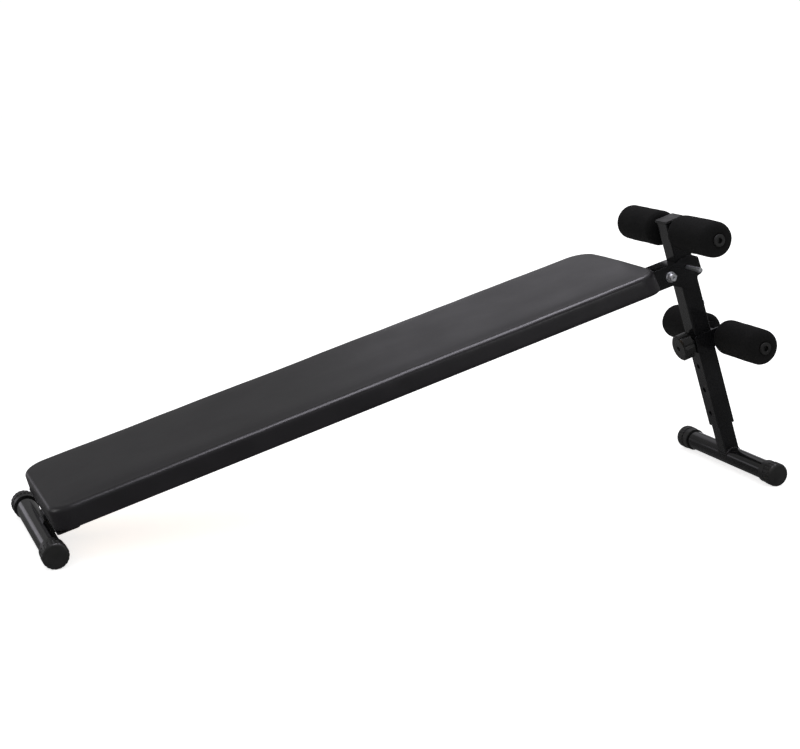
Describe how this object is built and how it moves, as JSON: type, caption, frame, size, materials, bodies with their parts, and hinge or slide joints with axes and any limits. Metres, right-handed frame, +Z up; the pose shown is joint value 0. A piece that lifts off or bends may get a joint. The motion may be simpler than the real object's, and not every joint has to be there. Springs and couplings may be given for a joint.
{
  "type": "decline sit-up bench",
  "caption": "Folding decline sit-up bench: a long padded board sloping down from a leaning upright with foam leg rollers on an upper bar and on a sliding lower carriage.",
  "frame": {"origin": "on the floor, at the middle of the bench's length and width", "axes": "+X along the floor towards the upright, which is uphill; +Y across the bench, away from the lock pin's head; +Z up"},
  "size_m": [1.4394, 0.344, 0.5231],
  "materials": {
    "paint": "gloss",
    "cap_plastic": "satin",
    "knob_plastic": "satin",
    "zinc": "satin",
    "board": "matte",
    "vinyl": "satin",
    "foam": "matte"
  },
  "bodies": {
    "frame": {"main_tube": "paint", "low_foot_tube": "paint", "low_foot_cap_near": "cap_plastic", "low_foot_cap_far": "cap_plastic", "pad_plates": "paint", "pad_board": "board", "pad_screws": "zinc", "pad_cushion": "vinyl", "hinge_bracket": "paint", "pivot_bolt": "zinc", "pivot_washers": "zinc", "pivot_nut": "zinc"},
    "lock_pin": {"lock_pin": "zinc"},
    "upright": {"upright_tube": "paint", "upright_top_cap": "cap_plastic", "pivot_lug": "paint", "pivot_bush": "zinc", "leg_tube": "paint", "leg_bolt": "zinc", "front_foot_tube": "paint", "front_foot_cap_near": "cap_plastic", "front_foot_cap_far": "cap_plastic", "upper_bar": "paint", "upper_bar_plugs": "cap_plastic"},
    "carriage": {"roller_carriage": "paint", "carriage_liner": "cap_plastic", "carriage_nut": "zinc", "lower_bar": "paint", "lower_bar_plugs": "cap_plastic"},
    "height_knob": {"knob_grip": "knob_plastic", "knob_screw": "zinc"},
    "upper_near_roller": {"upper_roller_near": "foam"},
    "upper_far_roller": {"upper_roller_far": "foam"},
    "lower_near_roller": {"lower_roller_near": "foam"},
    "lower_far_roller": {"lower_roller_far": "foam"}
  },
  "joints": [
    {"name": "fold", "type": "hinge", "parent": "frame", "child": "upright", "pos_m": [0.52853, 0, 0.40047], "axis": [0, 1, 0], "range_deg": [0, 75]},
    {"name": "lock_pin_slide", "type": "slide", "parent": "frame", "child": "lock_pin", "axis": [0, 1, 0], "range_m": [0, 0.042]},
    {"name": "carriage_slide", "type": "slide", "parent": "upright", "child": "carriage", "axis": [0.3156, 0, -0.9489], "range_m": [0, 0.156]},
    {"name": "knob_travel", "type": "slide", "parent": "carriage", "child": "height_knob", "axis": [0.9489, 0, 0.3156], "range_m": [0, 0.0045]},
    {"name": "upper_near_spin", "type": "hinge", "parent": "upright", "child": "upper_near_roller", "pos_m": [0.54183, 0, 0.48815], "axis": [0, 1, 0], "continuous": true},
    {"name": "upper_far_spin", "type": "hinge", "parent": "upright", "child": "upper_far_roller", "pos_m": [0.54183, 0, 0.48815], "axis": [0, 1, 0], "continuous": true},
    {"name": "lower_near_spin", "type": "hinge", "parent": "carriage", "child": "lower_near_roller", "pos_m": [0.65428, 0, 0.27684], "axis": [0, 1, 0], "continuous": true},
    {"name": "lower_far_spin", "type": "hinge", "parent": "carriage", "child": "lower_far_roller", "pos_m": [0.65428, 0, 0.27684], "axis": [0, 1, 0], "continuous": true}
  ]
}
